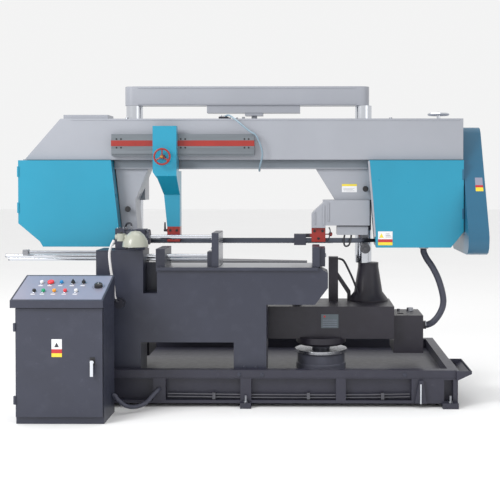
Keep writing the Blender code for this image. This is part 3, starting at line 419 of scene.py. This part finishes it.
strip("right_cover_edge", "right_cover", light, [(0.4385, 1.062), (0.4195, 1.307), (0.396, 1.568)], 0.013, 0.3188, 0.324)
boxes("right_cover_sticker_white", "right_cover", lab_white, (0.452, 0.548, 0.3186, 0.3202, 1.046, 1.098), bevel=0)
boxes("right_cover_sticker_red", "right_cover", lab_red, (0.452, 0.548, 0.3186, 0.3202, 1.026, 1.046), bevel=0)
boxes("right_cover_sticker_yellow", "right_cover", lab_yellow, (0.452, 0.548, 0.3186, 0.3202, 1.006, 1.026), bevel=0)
boxes("right_cover_sticker_ink", "right_cover", ink, *[(0.502, 0.540 - 0.006 * i, 0.3182, 0.3190, 1.060 + 0.010 * i, 1.0625 + 0.010 * i) for i in range(3)], bevel=0)
bm = bmesh.new()
add_prism(bm, [W(0.459, 0.3182, 1.056), W(0.490, 0.3182, 1.056), W(0.4745, 0.3182, 1.086)], [W(0.459, 0.319, 1.056), W(0.490, 0.319, 1.056), W(0.4745, 0.319, 1.086)])
finish_mesh("right_cover_sticker_triangle", bm, "right_cover", lab_yellow)


def on_guard(name, x0, x1, z0, z1, mat):
    """A thin plate on the belt guard's sloping front."""
    y = lambda z: 0.49 - 0.33 * (1.76 - z) / 0.66
    bm = bmesh.new()
    e, f = 0.0010, -0.0005
    add_prism(bm, [W(x0, y(z0) - e, z0 + e * 0.5), W(x1, y(z0) - e, z0 + e * 0.5), W(x1, y(z1) - e, z1 + e * 0.5), W(x0, y(z1) - e, z1 + e * 0.5)],
              [W(x0, y(z0) - f, z0), W(x1, y(z0) - f, z0), W(x1, y(z1) - f, z1), W(x0, y(z1) - f, z1)])
    return finish_mesh(name, bm, "bow", mat)


on_guard("guard_sticker_grey", 1.095, 1.145, 1.405, 1.455, panel)
on_guard("guard_sticker_red", 1.095, 1.145, 1.390, 1.405, lab_red)
on_guard("guard_sticker_yellow", 1.095, 1.145, 1.365, 1.390, lab_yellow)
bolts("guard_screws", "bow", steel, [(1.1602, y, z) for y, z in ((0.25, 1.02), (0.78, 1.02), (0.80, 1.40), (0.80, 1.74), (0.56, 1.74), (0.34, 1.38))], (1, 0, 0), 0.006, 0.003)

# drive behind the bow: motor fins, terminal box, gearbox ribs
rounds("motor_fins", "bow", slate, *[(0.622 + 0.022 * i, 0.76, 1.70, (1, 0, 0), 0.098, 0.098, 0.006) for i in range(13)], seg=40)
boxes("motor_terminal_box", "bow", slate, (0.68, 0.80, 0.70, 0.80, 1.785, 1.835), bevel=0.004)
boxes("gearbox_ribs", "bow", dark, *[(0.60 + 0.07 * i, 0.612 + 0.07 * i, 0.798, 0.812, 1.10, 1.40) for i in range(4)], bevel=0.002)
bolts("gearbox_bolts", "bow", steel, [(x, 0.80, z) for x in (0.573, 0.877) for z in (1.10, 1.40)], (0, 1, 0), 0.009, 0.007)
rounds("wheel_cap_left", "idler", iron, (-1.62, 0.4325, 1.293, (0, -1, 0), 0.030, 0.026, 0.008), seg=24)
rounds("wheel_cap_right", "drive", iron, (0.72, 0.4325, 1.293, (0, -1, 0), 0.034, 0.030, 0.008), seg=24)
bolts("wheel_bolts_left", "idler", steel, [(-1.62 + 0.022 * math.cos(a), 0.4245, 1.293 + 0.022 * math.sin(a)) for a in [math.radians(60 * i) for i in range(6)]], (0, -1, 0), 0.004, 0.003)
bolts("wheel_bolts_right", "drive", steel, [(0.72 + 0.025 * math.cos(a), 0.4245, 1.293 + 0.025 * math.sin(a)) for a in [math.radians(60 * i) for i in range(6)]], (0, -1, 0), 0.004, 0.003)

# crossbeam and columns
bolts("crossbeam_bolts", "swing", steel, [(x, y, 2.085) for x in (-1.235, 0.35) for y in (0.665, 0.735)], (0, 0, 1), 0.010, 0.006)
boxes("crossbeam_weld", "swing", light, (-1.20, 0.32, 0.632, 0.636, 1.968, 1.974), (-1.20, 0.32, 0.632, 0.636, 2.078, 2.084), bevel=0.0008)
bolts("post_flange_bolts", "swing", steel, [(0.41 + 0.118 * math.cos(a), 0.70 + 0.118 * math.sin(a), 0.605) for a in [math.radians(45 + 90 * i) for i in range(4)]], (0, 0, 1), 0.010, 0.007)
bolts("left_flange_bolts", "swing", steel, [(-1.235 + 0.087 * math.cos(a), 0.70 + 0.087 * math.sin(a), 0.640) for a in [math.radians(45 + 90 * i) for i in range(4)]], (0, 0, 1), 0.008, 0.006)

# swing arm nameplate, hoses, tank cap
boxes("arm_nameplate", "swing", lab_plate, (0.075, 0.190, 0.3585, 0.3602, 0.448, 0.540), bevel=0)
boxes("arm_nameplate_lines", "swing", panel, *[(0.085, 0.180, 0.3580, 0.3588, 0.458 + 0.014 * i, 0.4605 + 0.014 * i) for i in range(4)], bevel=0)
rounds("arm_nameplate_mark", "swing", lab_red, (0.098, 0.3588, 0.525, (0, -1, 0), 0.007, 0.007, 0.0008), seg=20)
tube("arm_hose", [(0.20, 0.655, 0.89), (0.235, 0.64, 0.875), (0.275, 0.635, 0.80), (0.31, 0.63, 0.72), (0.345, 0.625, 0.62), (0.355, 0.62, 0.593)], 0.0075, rubber, "swing", 40, 10)
rounds("tank_cap", "swing", steel, (0.70, 0.66, 0.524, (0, 0, 1), 0.026, 0.022, 0.022), (0.62, 0.66, 0.524, (0, 0, 1), 0.010, 0.010, 0.014), seg=20)
rounds("tank_gland", "swing", steel, (0.7852, 0.5, 0.45, (1, 0, 0), 0.030, 0.030, 0.008), seg=6)

# bed and vise
boxes("bed_front_ribs", "root", slate, (-1.369, -1.084, 0.0645, 0.068, 0.985, 0.989), bevel=0.0008)
bolts("bed_bolts", "root", slate, [(-0.42, 0.067, 0.24), (-0.345, 0.067, 0.24)], (0, -1, 0), 0.010, 0.007)
bolts("cylinder_bolts", "root", steel, [(-1.25, 0.16, 1.125), (-1.21, 0.16, 1.125), (-1.25, 0.24, 1.125), (-1.21, 0.24, 1.125)], (0, 0, 1), 0.005, 0.005)
rounds("cylinder_ports", "root", steel, (-1.165, 0.20, 1.116, (0, 0, 1), 0.010, 0.009, 0.022), (-1.058, 0.17, 1.10, (0, -0.4, 1), 0.009, 0.008, 0.018), seg=6)
tube("cylinder_hose", [(-1.165, 0.20, 1.136), (-1.175, 0.215, 1.155), (-1.205, 0.245, 1.15), (-1.228, 0.275, 1.10), (-1.236, 0.285, 1.04), (-1.24, 0.285, 0.99)], 0.0065, rubber, "root", 40, 10)
bolts("jaw_bolts", "jaw", steel, [(-0.63, y, z) for y in (0.11, 0.29) for z in (1.0, 1.06)], (-1, 0, 0), 0.008, 0.006)
bolts("fixed_jaw_bolts", "root", steel, [(0.098, y, 0.95) for y in (0.15, 0.28)], (1, 0, 0), 0.008, 0.006)
boxes("jaw_face_moving", "jaw", steel, (-0.5872, -0.5845, 0.085, 0.38, 0.886, 1.095), bevel=0.0005)
boxes("jaw_face_fixed", "root", steel, (0.0135, 0.0162, 0.085, 0.348, 0.886, 1.005), bevel=0.0005)
boxes("bed_lip", "root", slate, (-0.979, 0.05, 0.046, 0.0505, 0.862, 0.881), bevel=0.001)
rounds("rod_end_caps", "jaw", steel, (-1.98, 0.17, 0.947, (1, 0, 0), 0.0128, 0.0128, 0.006), (-1.98, 0.23, 0.921, (1, 0, 0), 0.0128, 0.0128, 0.006), seg=20)

# base: levelling screws, bolts, gusset rod, weld seam, turntable screws
bolts("base_bolts", "root", slate, [(-0.447, 0.0, 0.208), (-0.302, 0.0, 0.208), (0.60, 0.0, 0.208)], (0, -1, 0), 0.010, 0.007)
for i, x in enumerate((-0.406, 0.885, -1.415)):
    rounds("level_screw_%d" % i, "root", steel, (x, -0.018, 0.0345, (0, 0, 1), 0.013, 0.013, 0.010), (x, -0.018, 0.040, (0, 0, 1), 0.007, 0.007, 0.040), seg=6)
rounds("gusset_rod", "root", chrome, (0.6975, -0.028, 0.030, (0, 0, 1), 0.0065, 0.0065, 0.125), seg=14)
boxes("base_weld", "root", slate_tray, (-1.44, 0.925, -0.0025, 0.001, 0.184, 0.188), bevel=0.0008)
rounds("turntable_screws", "root", steel, *[(0.075 + 0.139 * math.cos(a), 0.45 + 0.139 * math.sin(a), 0.2045, (0, 0, 1), 0.008, 0.007, 0.008) for a in [math.radians(30 * i) for i in range(12)]], seg=6)

# lamp: bulb and collar
rounds("lamp_bulb", "lamp", bulb_mat, (-1.10, -0.02, 1.094, (0, 0, -1), 0.016, 0.026, 0.030), (-1.10, -0.02, 1.064, (0, 0, -1), 0.026, 0.014, 0.020), seg=24)
rounds("lamp_collar", "lamp", p_black, (-1.19, -0.02, 1.1015, (0, 0, 1), 0.012, 0.010, 0.012), seg=18)

# cabinet and console
boxes("door_label", "door", lab_white, (-1.518, -1.457, -0.4416, -0.4398, 0.446, 0.505), bevel=0)
boxes("door_label_red", "door", lab_red, (-1.518, -1.457, -0.4416, -0.4398, 0.422, 0.446), bevel=0)
boxes("door_label_yellow", "door", lab_yellow, (-1.518, -1.457, -0.4416, -0.4398, 0.400, 0.422), bevel=0)
bm = bmesh.new()
add_prism(bm, [W(-1.502, -0.4421, 0.458), W(-1.474, -0.4421, 0.458), W(-1.488, -0.4421, 0.486)], [W(-1.502, -0.441, 0.458), W(-1.474, -0.441, 0.458), W(-1.488, -0.441, 0.486)])
finish_mesh("door_label_triangle", bm, "door", ink)
boxes("door_handle_plate", "door", p_black, (-1.292, -1.262, -0.4428, -0.4399, 0.350, 0.398), bevel=0.0008)
rounds("door_hinge_pins", "root", steel, (-1.741, -0.441, 0.552, (0, 0, 1), 0.0045, 0.0045, 0.046), (-1.741, -0.441, 0.122, (0, 0, 1), 0.0045, 0.0045, 0.046))
SL = (0.85 - 0.735) / (-0.12 + 0.46)
NL = math.hypot(1, SL)
NV = Vector((0, -SL / NL, 1 / NL))
UPV = Vector((0, 1 / NL, SL / NL))


def at(x, t, off=0.0):
    y = -0.46 + 0.34 * t
    return W(x, y, 0.735 + SL * (y + 0.46)) + NV * off


def plate(bm, x, t, w, h, o0, o1):
    c0, c1 = at(x, t, o0), at(x, t, o1)
    q = [(-w, -h), (w, -h), (w, h), (-w, h)]
    add_prism(bm, [c0 + Vector((a, 0, 0)) + UPV * b for a, b in q], [c1 + Vector((a, 0, 0)) + UPV * b for a, b in q])


FRONT, BACK = 0.33, 0.66
CONTROLS = [("button_white", -1.63, BACK, 0.011), ("emergency_stop", -1.575, BACK, 0.014), ("button_blue", -1.51, BACK, 0.011), ("selector_mode", -1.44, BACK, 0.012),
            ("selector_pump", -1.375, BACK, 0.012), ("button_black", -1.645, FRONT, 0.011), ("button_green", -1.59, FRONT, 0.011),
            ("button_orange", -1.525, FRONT, 0.011), ("button_red", -1.46, FRONT, 0.011), ("button_start", -1.395, FRONT, 0.011)]


def ring(bm, c, r0, r1, h, seg=28):
    d = NV
    u = Vector((1, 0, 0))
    v = d.cross(u)
    rows = []
    for r, t in ((r0, 0), (r1, 0), (r1, h * 0.7), (r1 - 0.001, h), (r0, h)):
        rows.append([bm.verts.new(c + d * t + (u * math.cos(2 * math.pi * i / seg) + v * math.sin(2 * math.pi * i / seg)) * r) for i in range(seg)])
    for a, b in zip(rows, rows[1:] + rows[:1]):
        for i in range(seg):
            bm.faces.new((a[i], a[(i + 1) % seg], b[(i + 1) % seg], b[i]))


bm = bmesh.new()
for _, x, t, r in CONTROLS:
    inner = 0.0212 if _ == "emergency_stop" else r + 0.0009
    ring(bm, at(x, t, 0.0001), inner, max(inner + 0.0032, 0.0152), 0.003)
finish_mesh("control_bezels", bm, "root", chrome, smooth=True)
bm = bmesh.new()
plate(bm, (-1.735 - 0.022 - 1.215 + 0.004) / 2, 0.5, 0.262, 0.166, 0.0, 0.0004)
sheet_panel = finish_mesh("control_panel_sheet", bm, "root", panel)
holes = bmesh.new()
for _, x, t, r in CONTROLS + [("k", -1.275, 0.52, 0)]:
    add_round(holes, at(x, t, -0.01), NV, 0.0068, 0.0068, 0.02, 20)
hm = bpy.data.meshes.new("panel_holes")
bmesh.ops.recalc_face_normals(holes, faces=holes.faces)
holes.to_mesh(hm)
holes.free()
cutter = bpy.data.objects.new("panel_holes", hm)
bpy.context.scene.collection.objects.link(cutter)
mod = sheet_panel.modifiers.new("holes", "BOOLEAN")
mod.object, mod.operation, mod.solver = cutter, "DIFFERENCE", "EXACT"
dg = bpy.context.evaluated_depsgraph_get()
new_me = bpy.data.meshes.new_from_object(sheet_panel.evaluated_get(dg))
sheet_panel.modifiers.clear()
sheet_panel.data = new_me
bpy.data.objects.remove(cutter, do_unlink=True)
bm = bmesh.new()
for _, x, t, r in CONTROLS:
    plate(bm, x, t - 0.096, 0.013, 0.005, 0.0006, 0.0014)
finish_mesh("control_legends", bm, "root", lab_white)
bm = bmesh.new()
for i in range(11):
    a = math.radians(-135 + 27 * i)
    c = at(-1.275, 0.52, 0.0008)
    d = Vector((1, 0, 0)) * math.sin(a) + UPV * math.cos(a)
    s = Vector((1, 0, 0)) * math.cos(a) - UPV * math.sin(a)
    p0, p1 = c + d * 0.033, c + d * (0.041 if i % 5 == 0 else 0.038)
    add_prism(bm, [p0 - s * 0.0008, p0 + s * 0.0008, p1 + s * 0.0008, p1 - s * 0.0008],
              [q + NV * 0.0006 for q in (p0 - s * 0.0008, p0 + s * 0.0008, p1 + s * 0.0008, p1 - s * 0.0008)])
finish_mesh("speed_scale", bm, "root", ink)
bm = bmesh.new()
plate(bm, -1.275, 0.52, 0.0012, 0.008, 0.0245, 0.0258)
finish_mesh("speed_pointer", bm, "knob", lab_white)
for tag, x in (("selector_mode", -1.44), ("selector_pump", -1.375)):
    bm = bmesh.new()
    plate(bm, x, BACK, 0.0032, 0.0105, 0.0178, 0.0262)
    finish_mesh(tag + "_grip", bm, tag + "_body", p_black, bevel=0.0008)
    bm = bmesh.new()
    c = at(x, BACK, 0.0262) + UPV * 0.006
    add_prism(bm, [c + Vector((-0.0007, 0, 0)) - UPV * 0.004, c + Vector((0.0007, 0, 0)) - UPV * 0.004, c + Vector((0.0007, 0, 0)) + UPV * 0.004, c + Vector((-0.0007, 0, 0)) + UPV * 0.004],
              [q + NV * 0.0005 for q in (c + Vector((-0.0007, 0, 0)) - UPV * 0.004, c + Vector((0.0007, 0, 0)) - UPV * 0.004, c + Vector((0.0007, 0, 0)) + UPV * 0.004, c + Vector((-0.0007, 0, 0)) + UPV * 0.004)])
    finish_mesh(tag + "_mark", bm, tag + "_body", p_white)

# ---------------------------------------------------------------- stage, light, camera
me = bpy.data.meshes.new("floor")
me.from_pydata([(-40, -40, -0.0006), (40, -40, -0.0006), (40, 40, -0.0006), (-40, 40, -0.0006)], [], [(0, 1, 2, 3)])
floor = bpy.data.objects.new("floor", me)
bpy.context.scene.collection.objects.link(floor)
me.materials.append(surface("floor_pale", (0.93, 0.93, 0.93), 0.85, var=0.006, scale=0.6, bump=0.0, edge=0))

scene = bpy.context.scene
world = bpy.data.worlds.new("studio")
world.use_nodes = True
world.node_tree.nodes["Background"].inputs["Color"].default_value = (1.0, 1.0, 1.0, 1)
world.node_tree.nodes["Background"].inputs["Strength"].default_value = 0.9
scene.world = world
scene.view_settings.view_transform = "Standard"


def area(name, loc, target, size, power):
    l = bpy.data.lights.new(name, "AREA")
    l.shape, l.size, l.energy = "SQUARE", size, power
    o = bpy.data.objects.new(name, l)
    o.location = loc
    o.rotation_euler = (Vector(target) - Vector(loc)).to_track_quat("-Z", "Y").to_euler()
    scene.collection.objects.link(o)
    return o


area("key", (-4.6, -4.6, 4.6), (-0.9, 0, 1.1), 2.6, 300)
area("fill", (5.0, -4.5, 3.0), (0, 0, 1.0), 3.5, 30)
area("top", (0.0, 0.6, 6.0), (0, 0, 0.8), 4.0, 90)

cam = bpy.data.cameras.new("camera")
cam.lens, cam.sensor_width = 68.4, 36.0
cam.shift_x, cam.shift_y = -0.1035, -0.107
co = bpy.data.objects.new("camera", cam)
co.location = (0.41, -6.38, 1.44)
co.rotation_euler = (math.radians(90 - 1.0), 0, math.radians(0.5))
scene.collection.objects.link(co)
scene.camera = co
